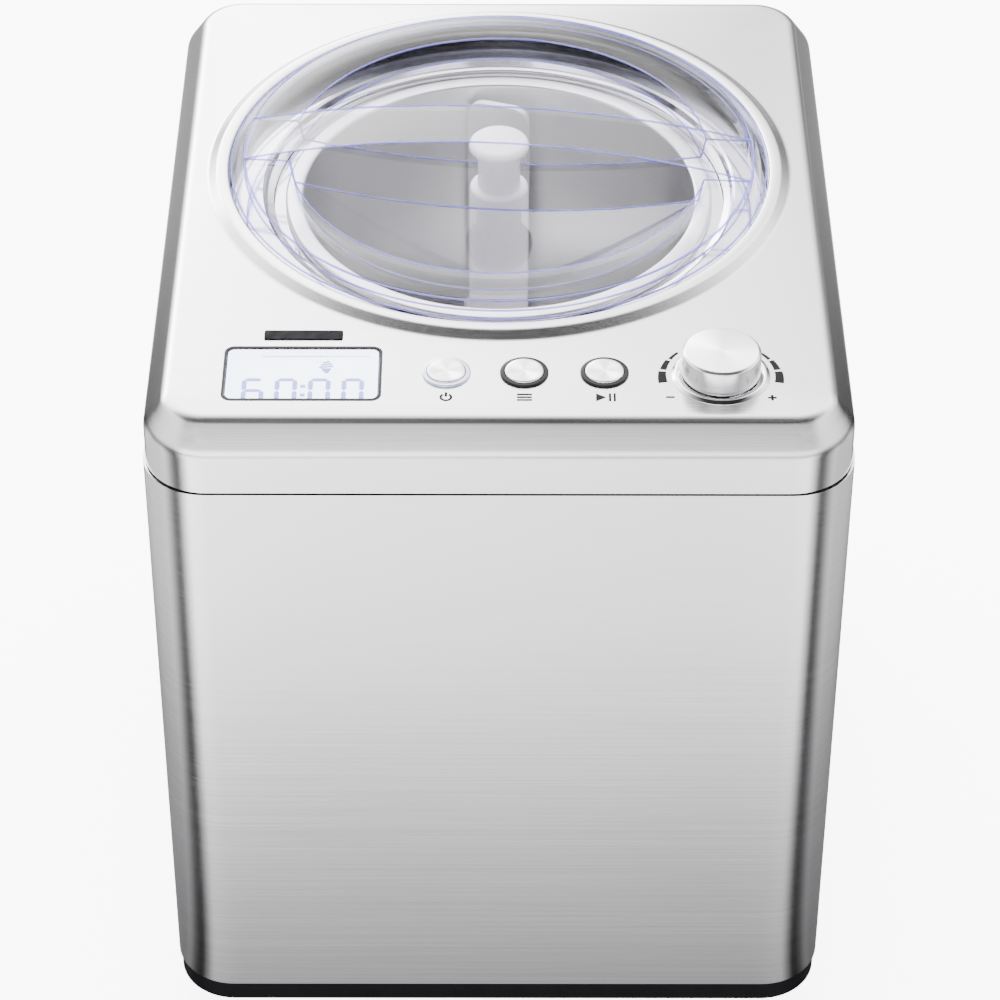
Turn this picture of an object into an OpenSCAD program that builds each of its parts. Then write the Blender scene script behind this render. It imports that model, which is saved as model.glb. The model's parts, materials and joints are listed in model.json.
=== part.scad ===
// Compressor ice cream maker: a removable bowl in a refrigerated well, with a paddle driven from below.
// Millimetres. Origin on the floor under the middle of the housing, +Z up, the control strip towards -Y.

/* [Housing] */
// Width of the steel body
body_w = 275; // [255:1:300]
// Depth of the steel body and of the top cover
body_d = 314; // [306:1:330]
// Width of the top cover
cover_w = 273; // [250:1:298]
// Radius of the housing's upright corners
corner_r = 25; // [18:1:30]
// Height of the flat top above the floor
top_z = 322; // [318:1:340]
// Height of the rubber feet
foot_h = 12; // [8:1:16]
// Thickness of the steel sheet
sheet_t = 1.2; // [0.8:0.1:1.6]

/* [Top cover] */
// Height of the cover's upright skirt
skirt_h = 18; // [12:1:22]
// How far the chamfer runs in from the cover's side
chamfer_in = 8.6; // [6:0.2:12]
// Height of the chamfer
chamfer_h = 11.9; // [8:0.1:14]
// Rise of the pressed collar round the well
collar_h = 2.9; // [1.5:0.1:4]

/* [Well and bowl] */
// Distance of the bowl's axis behind the middle of the housing
axis_y = 20; // [16:0.5:24]
// Inside radius of the pressed collar
collar_r = 111.1; // [109:0.1:113]
// Inside radius of the removable bowl
bowl_r = 81; // [78:0.5:82]
// Inside depth of the removable bowl
bowl_depth = 118; // [112:1:120]

/* [Lid] */
// Radius of the lid's resting flange
lid_r = 110.4; // [108:0.1:110.6]
// Radius of the lid's raised wall
lid_wall_r = 104.7; // [100:0.1:106]
// Height of the lid's raised ring above the flat top
lid_ring_h = 8.3; // [6:0.1:10]
// Radius of the finger recesses' rim
recess_r = 86; // [80:0.5:92]
// Height of the bar's crown above the flat top
bar_h = 20.8; // [16:0.2:26]
// Half width of the bar at its crown
bar_half_w = 13.4; // [12.6:0.1:16]
// Turn of the bar from square to the housing, in degrees
bar_turn = -4.4; // [-10:0.1:10]

/* [Controls] */
// Y of the row of buttons
button_y = -120.4; // [-124:0.2:-118]
// X of the three buttons
button_xs = [-20.3, 9.6, 40.4]; // [-30:0.1:50]
// Radius of a button's cap
button_r = 7.5; // [6:0.1:7.6]
// How far a button goes in
button_travel = 1.2; // [0.5:0.1:1.3]
// X of the knob
knob_x = 84.9; // [80:0.1:90]
// Y of the knob
knob_y = -121.6; // [-124:0.1:-118]
// Radius of the knob
knob_r = 15.2; // [12:0.1:17]
// Width and depth of the display window
window_size = [59, 32.4]; // [28:0.1:62]
// Centre of the display window
window_pos = [-75.5, -120.8]; // [-124:0.1:-70]

/* [Drive] */
// Gear module
gear_m = 1.25; // [1:0.05:1.3]
// Teeth of the motor pinion
pinion_teeth = 10; // [10:1:12]
// Teeth of the large idler wheel
idler_teeth = 40; // [36:1:42]
// Teeth of the small idler pinion
idler_pinion_teeth = 12; // [12:1:14]
// Teeth of the output gear
output_teeth = 48; // [40:1:50]
// Pressure angle of the teeth
pressure_angle = 25; // [20:1:25]
// Backlash at the pitch circle
backlash = 0.25; // [0.15:0.05:0.4]

/* [Hidden] */
$fn = 96;

// Levels of the housing
base_top = foot_h + 10;
cover_z = top_z - chamfer_h - skirt_h;
body_top = cover_z - 1;
skirt_top = top_z - chamfer_h;
seat_z = top_z - 9;
rim_seat_z = seat_z - 7;
deck_z = 166;
deck_t = 2;
drum_floor_z = 184;
drum_r = bowl_r + 2.7;
bowl_t = 1.2;
bowl_floor_z = rim_seat_z + 3.5 - bowl_depth;
tube_top = bowl_floor_z + 46;

// Drive train: pinion, compound idler and output gear stand in one line in front of the bowl's axis
play = 0.05;
idler_y = axis_y - gear_m * (output_teeth + idler_pinion_teeth) / 2 - play;
motor_y = idler_y - gear_m * (pinion_teeth + idler_teeth) / 2 - play;
gearbox_z = 138;
low_gear_z = 146;
high_gear_z = 156;
shaft_r = 5;
run_gap = 0.05;
shaft_top = tube_top + 8;

foot_x = 105;
foot_y = 125;
post_x = 122;
post_y = 142;
wall_gap = 0.3;

fan_x = 70;
fan_y = 45;
fan_z = 92;
fan_size = 120;
compressor_pos = [-66, 66];
compressor_foot = 42;
condenser_box = [[100, -24, 30], [124, 114, 150]];
gland_pos = [80, 44];
drier_pos = [-60, -70];
drier_zs = [70, 146];

// ---------- Helpers ----------

function unit(v) = v / norm(v);

// Points of an arc that rounds the corner at b between a and c
function fillet(a, b, c, r, n = 6) =
    let (d1 = unit(a - b), d2 = unit(c - b), half = acos(d1 * d2) / 2,
        mid = b + unit(d1 + d2) * r / sin(half),
        s = b + d1 * r / tan(half) - mid, e = b + d2 * r / tan(half) - mid,
        a0 = atan2(s[1], s[0]), turn = atan2(s[0] * e[1] - s[1] * e[0], s * e))
    [for (i = [0 : n]) mid + r * [cos(a0 + turn * i / n), sin(a0 + turn * i / n)]];

// A rectangle with round corners
module round_rect(w, d, r) {
    square([w, d - 2 * r], center = true);
    square([w - 2 * r, d], center = true);
    for (x = [-1, 1], y = [-1, 1]) translate([x * (w / 2 - r), y * (d / 2 - r)]) circle(r);
}

module plate(w, d, r, z0, z1) {
    translate([0, 0, z0]) linear_extrude(z1 - z0) round_rect(w, d, r);
}

module wall_ring(w, d, r, t, z0, z1) {
    difference() {
        plate(w, d, r, z0, z1);
        plate(w - 2 * t, d - 2 * t, r - t, z0 - 1, z1 + 1);
    }
}

module tube(r_out, r_in, z0, z1) {
    difference() {
        translate([0, 0, z0]) cylinder(r = r_out, h = z1 - z0);
        translate([0, 0, z0 - 1]) cylinder(r = r_in, h = z1 - z0 + 2);
    }
}

module rod(r, z0, z1) {
    translate([0, 0, z0]) cylinder(r = r, h = z1 - z0);
}

module box(low, high) {
    translate(low) cube(high - low);
}

// A screw standing on z = 0 with its head up
module screw(head_r, head_h, shank_r, shank_l) {
    difference() {
        cylinder(r = head_r, h = head_h);
        for (a = [0, 90])
            rotate(a) translate([0, 0, head_h]) cube([head_r * 1.1, 0.7, head_h], center = true);
    }
    rod(shank_r, -shank_l, 0.01);
}

// A route with each corner eased by a curve that starts and ends at distance d from it
function eased(pts, d, n = 4) = concat([pts[0]],
    [for (i = [1 : len(pts) - 2])
        let (b = pts[i], a = b + unit(pts[i - 1] - b) * d, c = b + unit(pts[i + 1] - b) * d)
        for (k = [0 : n]) let (u = k / n) a * pow(1 - u, 2) + b * 2 * u * (1 - u) + c * pow(u, 2)],
    [pts[len(pts) - 1]]);

// Side vectors carried along a route without twist
function carried(dirs, side, i = 0) = i >= len(dirs) ? [] :
    let (s = unit(side - dirs[i] * (side * dirs[i]))) concat([s], carried(dirs, s, i + 1));

// A pipe swept along a route, with eight sides
module pipe(points, r, bend = 9) {
    sides = 8;
    route = eased(points, bend);
    last = len(route) - 1;
    dirs = [for (i = [0 : last]) unit(unit(route[min(i + 1, last)] - route[min(i, last - 1)])
        + unit(route[max(i, 1)] - route[max(i - 1, 0)]))];
    sides_at = carried(dirs, cross(dirs[0], [0.31, 0.52, 0.79]));
    skin = [for (i = [0 : last]) for (k = [0 : sides - 1]) let (a = 360 * k / sides)
        route[i] + r * (cos(a) * sides_at[i] + sin(a) * cross(dirs[i], sides_at[i]))];
    walls = [for (i = [0 : last - 1]) for (k = [0 : sides - 1]) let (n = (k + 1) % sides)
        [i * sides + k, (i + 1) * sides + k, (i + 1) * sides + n, i * sides + n]];
    ends = [[for (k = [0 : sides - 1]) k], [for (k = [sides - 1 : -1 : 0]) last * sides + k]];
    polyhedron(skin, concat(walls, ends), convexity = 12);
}

// ---------- Gears ----------

function involute(rb, a) = rb * [cos(a) + a * PI / 180 * sin(a), sin(a) - a * PI / 180 * cos(a)];
function roll_to(rb, r) = sqrt(max(pow(r / rb, 2) - 1, 0)) * 180 / PI;
function turned(p, a) = [p[0] * cos(a) - p[1] * sin(a), p[0] * sin(a) + p[1] * cos(a)];

// One tooth's two flanks, from root to tip and back
function tooth(n, m, at) =
    let (rp = m * n / 2, rb = rp * cos(pressure_angle), ra = rp + 0.9 * m, rf = rp - 1.2 * m,
        start = roll_to(rb, max(rb, rf)), end = roll_to(rb, ra), steps = 5,
        pitch_roll = roll_to(rb, rp), pitch_pt = involute(rb, pitch_roll),
        half = 90 / n - backlash / 2 / rp * 180 / PI / 2 + atan2(pitch_pt[1], pitch_pt[0]),
        flank = [for (i = [0 : steps]) turned(involute(rb, start + (end - start) * i / steps), -half)])
    concat([turned([rf, 0], at - half)],
        [for (p = flank) turned(p, at)],
        [for (i = [steps : -1 : 0]) turned([flank[i][0], -flank[i][1]], at)],
        [turned([rf, 0], at + half)]);

module gear2d(n, m, phase = 0) {
    polygon([for (i = [0 : n - 1]) for (p = tooth(n, m, 360 * i / n + phase)) p]);
}

// ---------- Housing ----------

module base_plate() {
    w = cover_w;
    d = body_d - 2;
    color("#1c1c1e") difference() {
        union() {
            plate(w, d, corner_r - 1, foot_h, foot_h + 3);
            wall_ring(w, d, corner_r - 1, 3, foot_h, base_top);
            wall_ring(body_w - 2 * sheet_t - 2 * wall_gap, body_d - 2 * sheet_t - 2 * wall_gap,
                corner_r - sheet_t, 2, base_top - 4, base_top + 8);
            for (y = [fan_y - 50, fan_y + 50])
                box([fan_x + 2, y - 6, foot_h], [fan_x + 23, y + 6, fan_z - fan_size / 2]);
            for (x = [-1, 1], y = [-1, 1]) {
                translate([x * foot_x, y * foot_y]) rod(6, foot_h, foot_h + 14);
                translate([x * post_x, y * post_y]) rod(7, foot_h, foot_h + 8);
                translate(compressor_pos + compressor_foot * [x, y]) rod(7, foot_h, foot_h + 12);
            }
        }
        for (x = [-1, 1], y = [-1, 1]) {
            translate([x * foot_x, y * foot_y]) rod(2.1, foot_h - 1, foot_h + 11);
            translate(compressor_pos + compressor_foot * [x, y]) rod(2.6, foot_h + 4, foot_h + 13);
        }
        for (i = [0 : 6], x = [-20, 20])
            box([x - 15, -100 + 9 * i, foot_h - 1], [x + 15, -96 + 9 * i, foot_h + 4]);
    }
}

module rubber_feet() {
    profile = [[2.4, 5], [5, 5], [5, 0], [11, 0], [12, 1], [14, foot_h], [2.4, foot_h]];
    color("#262628") for (x = [-1, 1], y = [-1, 1])
        translate([x * foot_x, y * foot_y]) rotate_extrude() polygon(profile);
}

module foot_screws() {
    color("#a8abae") for (x = [-1, 1], y = [-1, 1])
        translate([x * foot_x, y * foot_y, 5]) mirror([0, 0, 1]) screw(4.4, 2.4, 2, 16);
}

rear_w = 208;
rear_flange_x = 108;
rear_screw_zs = [45, 157, 270];

module vent_slots(count, pitch, w, h) {
    for (i = [0 : count - 1]) translate([0, 0, i * pitch]) {
        cube([w - h, 20, h], center = true);
        for (s = [-1, 1])
            translate([s * (w - h) / 2, 0, 0]) rotate([90, 0, 0])
                cylinder(r = h / 2, h = 20, center = true, $fn = 24);
    }
}

module body_shell() {
    color("#c9cacc") difference() {
        wall_ring(body_w, body_d, corner_r, sheet_t, base_top, body_top);
        box([-rear_w / 2, body_d / 2 - 10, base_top - 1], [rear_w / 2, body_d / 2 + 1, body_top + 1]);
        for (x = [-1, 1]) translate([x * body_w / 2, fan_y, 54]) rotate(90) vent_slots(9, 9, 110, 4);
        for (x = [-1, 1], z = rear_screw_zs)
            translate([x * rear_flange_x, body_d / 2, z]) rotate([90, 0, 0]) rod(3.4, -1, 3);
    }
}

module rear_panel() {
    face = body_d / 2;
    color("#c4c5c7") difference() {
        union() {
            box([-rear_w / 2 + wall_gap, face - sheet_t, base_top + wall_gap],
                [rear_w / 2 - wall_gap, face, body_top - wall_gap]);
            for (s = [-1, 1]) translate([s * (rear_flange_x - 3), 0, 0])
                box([-7, face - 2.5, base_top + 9], [7, face - sheet_t, body_top - 12]);
        }
        for (x = [-1, 1], z = rear_screw_zs)
            translate([x * rear_flange_x, face, z]) rotate([90, 0, 0]) rod(1.65, -1, 5);
        translate([-30, face, 60]) vent_slots(9, 9, 100, 4);
        translate([0, face, 230]) vent_slots(4, 9, 100, 4);
        translate([gland_pos[0], face, gland_pos[1]]) rotate([90, 0, 0]) rod(10.2, -1, 5);
    }
}

module rear_screws() {
    color("#b4b6b8") for (x = [-1, 1], z = rear_screw_zs)
        translate([x * rear_flange_x, body_d / 2 - sheet_t, z]) rotate([-90, 0, 0]) screw(3.2, 1.1, 1.5, 8);
}

module cord_gland() {
    color("#202022") translate([gland_pos[0], body_d / 2, gland_pos[1]]) rotate([90, 0, 0]) {
        tube(10, 3.6, 0, sheet_t);
        tube(13, 3.6, sheet_t, sheet_t + 2);
        tube(7, 3.6, sheet_t + 2, 14);
    }
}

// ---------- Top ----------

// The cover's outside, or its hollow when grown inwards by t
module cover_block(t, z0) {
    r = corner_r - t;
    w = cover_w / 2 - t;
    d = body_d / 2 - t;
    low = [0, skirt_top - t * 0.4];
    high = [chamfer_in - t * 0.35, top_z - t];
    edge = concat([[0, z0]], fillet([0, z0], low, high, 8 - t), fillet(low, high, high + [9, 0], 5.5 - t));
    module slab(half, length) {
        rotate([90, 0, 0]) linear_extrude(length, center = true)
            polygon(concat([for (p = edge) [half - p[0], p[1]]],
                [for (i = [len(edge) - 1 : -1 : 0]) [edge[i][0] - half, edge[i][1]]]));
    }
    slab(w, 2 * (d - r));
    rotate(90) slab(d, 2 * (w - r));
    for (x = [-1, 1], y = [-1, 1]) translate([x * (w - r), y * (d - r)])
        rotate_extrude() polygon(concat([[0, z0]], [for (p = edge) [r - p[0], p[1]]], [[0, top_z - t]]));
}

module top_cover() {
    t = 1.6;
    r = collar_r;
    crown = top_z + collar_h;
    outside = concat(fillet([r + 16, top_z], [r + 8.9, top_z], [r + 5, crown], 3, 5),
        fillet([r + 8.9, top_z], [r + 5, crown], [r, crown], 2.4, 5),
        fillet([r + 5, crown], [r, crown], [r, top_z - 6], 1.1, 5));
    inside = [[r, top_z - 6], [r + 1.2, top_z - 6], [r + 1.2, crown - 1.6], [r + 4.4, crown - 1.6],
        [r + 8.3, top_z - t], [r + 16, top_z - t]];
    color("#cfd0d2") difference() {
        union() {
            difference() {
                cover_block(0, cover_z);
                cover_block(t, cover_z - 1);
                translate([0, axis_y]) rod(r + 11, top_z - 20, top_z + 9);
            }
            translate([0, axis_y]) rotate_extrude($fn = 180)
                polygon(concat([[r + 12, top_z]], outside, inside, [[r + 12, top_z - t]]));
        }
        translate([window_pos[0], window_pos[1], top_z - 10]) linear_extrude(20)
            round_rect(window_size[0] + 2.2, window_size[1] + 2.2, 4);
        for (x = button_xs) translate([x, button_y]) rod(8.7, top_z - 10, top_z + 5);
        translate([knob_x, knob_y]) rod(4.8, top_z - 10, top_z + 5);
    }
}

module cover_frame() {
    color("#19191b") difference() {
        union() {
            wall_ring(cover_w - 2, body_d - 2, corner_r - 1, 8, body_top, cover_z);
            wall_ring(cover_w - 4.4, body_d - 4.4, corner_r - 2.2, 2, body_top - 10, skirt_top - 4);
            plate(cover_w - 6, body_d - 6, corner_r - 3, body_top - 7, body_top - 4.5);
            translate([0, axis_y]) rod(109, body_top - 7, seat_z - 12);
            for (x = [-105, -20, 60, 105], y = [-139, -101])
                translate([x, y]) rod(3, body_top - 5, body_top + 11.6);
        }
        translate([0, axis_y]) rod(106, body_top - 10, seat_z);
    }
}

module seat_ring() {
    r_out = collar_r - 0.4;
    inner = bowl_r + 12.3;
    color("#dadbdd") translate([0, axis_y]) rotate_extrude($fn = 180)
        polygon([[inner, seat_z - 12], [r_out, seat_z - 12], [r_out, seat_z], [inner + 4.5, seat_z],
            [inner + 3.5, seat_z - 0.6], [inner + 2.5, seat_z - 3], [inner, seat_z - 3.4]]);
}

// ---------- Well, bowl and paddle ----------

module cooling_drum() {
    out = drum_r + 2;
    color("#b9bcc0") translate([0, axis_y]) difference() {
        rotate_extrude($fn = 180) polygon([[9.05, drum_floor_z], [out, drum_floor_z], [out, rim_seat_z - 2],
            [bowl_r + 12, rim_seat_z - 2], [bowl_r + 12, rim_seat_z], [drum_r + 1, rim_seat_z],
            [drum_r, rim_seat_z - 1], [drum_r, drum_floor_z + 2.5], [9.05, drum_floor_z + 2.5]]);
    }
}

coil_turns = 6;
coil_z = drum_floor_z + 16;
coil_pitch = 15;
coil_steps = 32;
// The coil runs in chords, and the middle of each stays clear of the drum
coil_r = (drum_r + 2 + 3.1) / cos(180 / coil_steps);

module evaporator_coil() {
    sides = 8;
    count = coil_turns * coil_steps;
    rings = [for (i = [0 : count]) let (a = 360 * i / coil_steps) [for (k = [0 : sides - 1])
        let (b = 360 * k / sides, rr = coil_r + 3 * cos(b))
        [rr * cos(a), rr * sin(a), coil_z + coil_pitch * i / coil_steps + 3 * sin(b)]]];
    points = [for (ring = rings) for (p = ring) p];
    walls = [for (i = [0 : count - 1]) for (k = [0 : sides - 1]) let (n = (k + 1) % sides)
        [i * sides + k, (i + 1) * sides + k, (i + 1) * sides + n, i * sides + n]];
    ends = [[for (k = [0 : sides - 1]) k], [for (k = [sides - 1 : -1 : 0]) count * sides + k]];
    color("#b87333") translate([0, axis_y]) polyhedron(points, concat(walls, ends), convexity = 12);
}

module insulation_jacket() {
    inner = coil_r + 3.4;
    color("#e8dfc0") translate([0, axis_y]) {
        tube(inner + 8, inner, drum_floor_z - 0.4, seat_z - 13);
        tube(inner + 8, 14, deck_z + deck_t, drum_floor_z - 0.4);
    }
}

module bowl() {
    out = bowl_r + bowl_t;
    z = rim_seat_z;
    floor_z = bowl_floor_z;
    rim = fillet([out, z], [bowl_r + 7.5, z + 0.1], [bowl_r + 7.5, z + 3.5], 1.6, 6);
    lip = fillet([bowl_r + 7.5, z + 0.1], [bowl_r + 7.5, z + 3.5], [bowl_r, z + 3.5], 1.6, 6);
    mouth = fillet([bowl_r + 7.5, z + 3.5], [bowl_r, z + 3.5], [bowl_r, floor_z], 1.2, 6);
    heel_in = fillet([bowl_r, z], [bowl_r, floor_z], [0, floor_z], 5, 8);
    heel_out = fillet([10, floor_z - bowl_t], [out, floor_z - bowl_t], [out, z], 6, 8);
    color("#d2d3d5") translate([0, axis_y]) rotate_extrude($fn = 180)
        polygon(concat([[6.3, floor_z - bowl_t]], heel_out, [[out, z + 0.1]], rim, lip, mouth, heel_in,
            [[7.8, floor_z], [7.8, tube_top], [6.3, tube_top]]));
}

hub_r = 12.1;
hub_top = top_z - 8.5;
cap_z = top_z + 9;
cap_r = 12.4;

paddle_turn = 90;
wiper_at = bowl_r - 9;
wiper_lean = -18;

module wiper(height, lean) {
    blade_w = 27;
    low = bowl_floor_z + 2;
    translate([wiper_at, 0, low]) rotate(lean) rotate([90, 0, 90]) translate([0, 0, -1.6])
        linear_extrude(3.2) {
            translate([-blade_w / 2, 0]) square([blade_w, height - 7]);
            translate([-blade_w / 2 + 7, 0]) square([blade_w - 14, height]);
            for (s = [-1, 1]) translate([s * (blade_w / 2 - 7), height - 7]) circle(7);
        }
}

module paddle() {
    low = bowl_floor_z + 2;
    head = shaft_top + 0.6;
    color("#f4f4f2") translate([0, axis_y]) rotate(paddle_turn) difference() {
        union() {
            rotate_extrude() polygon(concat(
                [[0, low], [hub_r + 2.5, low], [hub_r + 2.5, low + 10], [hub_r, low + 16]],
                fillet([hub_r, low], [hub_r, hub_top], [9, hub_top], 1.6, 5),
                [[9.1, hub_top], [8.6, hub_top + 6], [8.8, cap_z]],
                fillet([8.8, cap_z], [cap_r, cap_z + 0.4], [cap_r, cap_z + 3], 1, 4),
                fillet([cap_r, cap_z], [cap_r, cap_z + 4.2], [0, cap_z + 4.8], 2.6, 6),
                [[0, cap_z + 4.8]]));
            for (side = [[0, 112], [180, 62]]) rotate(side[0]) {
                wiper(side[1], wiper_lean);
                box([8, -1.8, low], [wiper_at + 0.5, 1.8, low + 12]);
                box([8, -1.8, low + side[1] - 30], [wiper_at + 0.5, 1.8, low + side[1] - 20]);
                translate([9, 0, low]) rotate([32, 0, 0]) cube([60, 18, 2.6]);
            }
        }
        rod(8.4, low - 1, tube_top + 0.8);
        intersection() {
            rod(shaft_r + 0.15, tube_top - 1, head);
            box([-4.15, -9, tube_top - 1], [4.15, 9, head]);
        }
    }
}

// ---------- Lid ----------

bar_draft = 3.3 / 30;
arch_r = (pow(lid_wall_r, 2) + pow(bar_h - lid_ring_h, 2)) / (2 * (bar_h - lid_ring_h));

// The bar's outside, or its hollow when shrunk by t
module bar_block(t, depth) {
    high = top_z + bar_h - t;
    half = bar_half_w - t;
    drop = bar_h + depth;
    intersection() {
        rotate([90, 0, 90]) linear_extrude(2 * lid_r, center = true) polygon([[-half, high], [half, high],
            [half + bar_draft * drop, high - drop], [-half - bar_draft * drop, high - drop]]);
        translate([0, 0, top_z + bar_h - arch_r]) rotate([90, 0, 0])
            cylinder(r = arch_r - t, h = 60, center = true, $fn = 360);
        rod(lid_wall_r - t, top_z - depth - 4, top_z + 40);
    }
}

// Height of the recess floor's upper face at a distance from the axis
dish_edge = -1.3;
dish_drop = 8.8;
function dish(r) = top_z + dish_edge - dish_drop * (1 - pow(r / (recess_r - 1.5), 2));

module lid() {
    t = 2;
    ring = top_z + lid_ring_h;
    flange = top_z + 3.3;
    edge = recess_r - 1.5;
    steps = 10;
    shell = concat(
        [[lid_r - 2.2, seat_z + 1.6], [lid_r, seat_z + 1.6]],
        fillet([lid_r, seat_z], [lid_r, flange], [lid_wall_r, flange], 0.9, 4),
        [[lid_wall_r, flange]],
        fillet([lid_wall_r, flange], [lid_wall_r, ring], [recess_r, ring], 1.2, 5),
        fillet([lid_wall_r, ring], [recess_r, ring], [edge, dish(edge)], 1, 5),
        [for (i = [steps : -1 : 0]) [edge * i / steps, dish(edge * i / steps)]],
        [for (i = [0 : steps]) [(edge - t) * i / steps, dish((edge - t) * i / steps) - t]],
        [[edge + 1, dish(edge) - t], [recess_r + 1.6, ring - t], [lid_wall_r - t, ring - t],
            [lid_wall_r - t, flange - t], [lid_r - 2.2, flange - t]]);
    color([0.85, 0.87, 0.95, 0.35]) translate([0, axis_y]) rotate(bar_turn) {
        difference() {
            rotate_extrude($fn = 180) polygon(shell);
            bar_block(1.6, 16);
        }
        difference() {
            bar_block(0, 10);
            bar_block(1.6, 16);
            translate([0, 0, -1]) rotate_extrude($fn = 180) polygon(concat([[0, top_z - 40]],
                [for (i = [0 : steps]) [edge * i / steps, dish(edge * i / steps)]],
                [[recess_r, ring - t], [lid_r, ring - t], [lid_r, top_z - 40]]));
        }
    }
}

module lid_gasket() {
    color([0.93, 0.93, 0.95]) translate([0, axis_y])
        tube(lid_r - 0.1, lid_r - 3.6, seat_z + 0.05, seat_z + 1.55, $fn = 180);
}

// ---------- Drive ----------

module gearbox_outline(grow) {
    translate([0, (axis_y + motor_y) / 2])
        round_rect(76 + 2 * grow, axis_y - motor_y + 68 + 2 * grow, 8 + grow);
}

gearbox_screw_xy = [for (x = [-1, 1], y = [-1, 1]) [x * 34, (axis_y + motor_y) / 2 + y * 62]];

module gearbox_housing() {
    color("#d8d9da") difference() {
        union() {
            difference() {
                translate([0, 0, gearbox_z]) linear_extrude(25) gearbox_outline(2.5);
                translate([0, 0, gearbox_z + 2.5]) linear_extrude(30) gearbox_outline(0);
            }
            for (p = gearbox_screw_xy) translate(p) rod(5, gearbox_z, gearbox_z + 25);
            translate([0, axis_y]) rod(13, gearbox_z, gearbox_z + 7);
        }
        translate([0, axis_y]) rod(10, gearbox_z + 1, gearbox_z + 8);
        translate([0, idler_y]) rod(3, gearbox_z - 1, gearbox_z + 8);
        translate([0, motor_y]) rod(8.1, gearbox_z - 1, gearbox_z + 8);
        for (p = gearbox_screw_xy) translate(p) rod(1.6, gearbox_z + 8, gearbox_z + 30);
    }
}

module gearbox_cover() {
    z = gearbox_z + 25;
    color("#c9cacb") difference() {
        translate([0, 0, z]) linear_extrude(2.4) gearbox_outline(2.5);
        translate([0, axis_y]) rod(9, z - 1, z + 5);
        translate([0, idler_y]) rod(3, z - 1, z + 5);
        for (p = gearbox_screw_xy) translate(p) rod(1.7, z - 1, z + 5);
    }
}

module gearbox_screws() {
    color("#a8abae") for (p = gearbox_screw_xy)
        translate([p[0], p[1], gearbox_z + 27.4]) screw(2.8, 0.5, 1.55, 14);
}

module lower_bearing() {
    color("#8f9396") translate([0, axis_y]) tube(9.98, shaft_r + run_gap, gearbox_z + 1, gearbox_z + 6.6);
}

module upper_bearing() {
    color("#b08d57") translate([0, axis_y]) tube(8.95, shaft_r + run_gap, gearbox_z + 24, deck_z + 6);
}

module shaft_seal() {
    color("#303034") translate([0, axis_y]) {
        tube(9, shaft_r + run_gap, drum_floor_z - 2, bowl_floor_z - bowl_t - 0.6);
        tube(12.5, shaft_r + run_gap, drum_floor_z - 4, drum_floor_z - 0.4);
    }
}

module idler_axle() {
    color("#9a9da0") translate([0, idler_y]) rod(2.95, gearbox_z - 0.4, gearbox_z + 27);
}

module drive_motor() {
    color("#8d9094") translate([0, motor_y]) difference() {
        union() {
            rotate_extrude()
                polygon([[0, 70], [25, 70], [27, 72], [27, 134], [25, 136], [8, 136], [8, 140], [0, 140]]);
            for (s = [-1, 1]) box([s > 0 ? 0 : -33, -7, 134], [s > 0 ? 33 : 0, 7, 137.6]);
        }
        rod(2.5 + run_gap, 69, 141);
    }
}

module motor_shaft() {
    color("#9a9da0") translate([0, motor_y]) rod(2.5, 67, high_gear_z + 5.8);
}

module motor_pinion() {
    color("#e9e6dc") translate([0, motor_y, high_gear_z]) difference() {
        linear_extrude(5.6) gear2d(pinion_teeth, gear_m, 90);
        rod(2.5, -1, 9);
    }
}

module idler_gear() {
    color("#e9e6dc") translate([0, idler_y]) difference() {
        union() {
            translate([0, 0, high_gear_z]) linear_extrude(5)
                gear2d(idler_teeth, gear_m, -90 + 180 / idler_teeth);
            translate([0, 0, low_gear_z]) linear_extrude(10.1) gear2d(idler_pinion_teeth, gear_m, 90);
        }
        rod(2.95 + run_gap, low_gear_z - 1, high_gear_z + 9);
        for (i = [0 : 5]) rotate(60 * i) translate([16.5, 0]) rod(4.5, high_gear_z - 1, high_gear_z + 9);
    }
}

module output_gear() {
    color("#e9e6dc") translate([0, axis_y]) difference() {
        union() {
            translate([0, 0, low_gear_z]) linear_extrude(8)
                gear2d(output_teeth, gear_m, -90 + 180 / output_teeth);
            rod(9, low_gear_z - 1, low_gear_z + 14);
        }
        rod(shaft_r, low_gear_z - 3, low_gear_z + 20);
        for (i = [0 : 5]) rotate(60 * i) translate([19, 0]) rod(6, low_gear_z - 1, low_gear_z + 9);
    }
}

module output_shaft() {
    color("#c3c6c9") translate([0, axis_y]) difference() {
        rod(shaft_r, gearbox_z + 1.2, shaft_top);
        for (s = [0, 180]) rotate(paddle_turn + s) box([4, -9, tube_top], [9, 9, shaft_top + 1]);
    }
}

// ---------- Deck and refrigeration ----------

module deck_plate() {
    color("#b6b8ba") difference() {
        plate(body_w - 12, body_d - 14, corner_r - 5, deck_z, deck_z + deck_t);
        translate([0, axis_y]) rod(9.3, deck_z - 1, deck_z + 5);
        for (x = [-1, 1], y = [-1, 1]) translate([x * post_x, y * post_y]) rod(2.2, deck_z - 1, deck_z + 5);
        for (p = gearbox_screw_xy) translate(p) rod(3.2, deck_z - 1, deck_z + 5);
        translate([0, idler_y]) rod(4, deck_z - 1, deck_z + 5);
        translate([106, -45]) rod(5, deck_z - 1, deck_z + 5);
        translate([104, 70]) rod(5, deck_z - 1, deck_z + 5);
    }
}

module deck_posts() {
    color("#9fa2a5") for (x = [-1, 1], y = [-1, 1]) translate([x * post_x, y * post_y]) difference() {
        rod(6, foot_h + 8, deck_z);
        rod(2, deck_z - 20, deck_z + 1);
    }
}

module deck_screws() {
    color("#a8abae") for (x = [-1, 1], y = [-1, 1])
        translate([x * post_x, y * post_y, deck_z + deck_t]) screw(4.2, 2.6, 1.95, 16);
}

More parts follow.
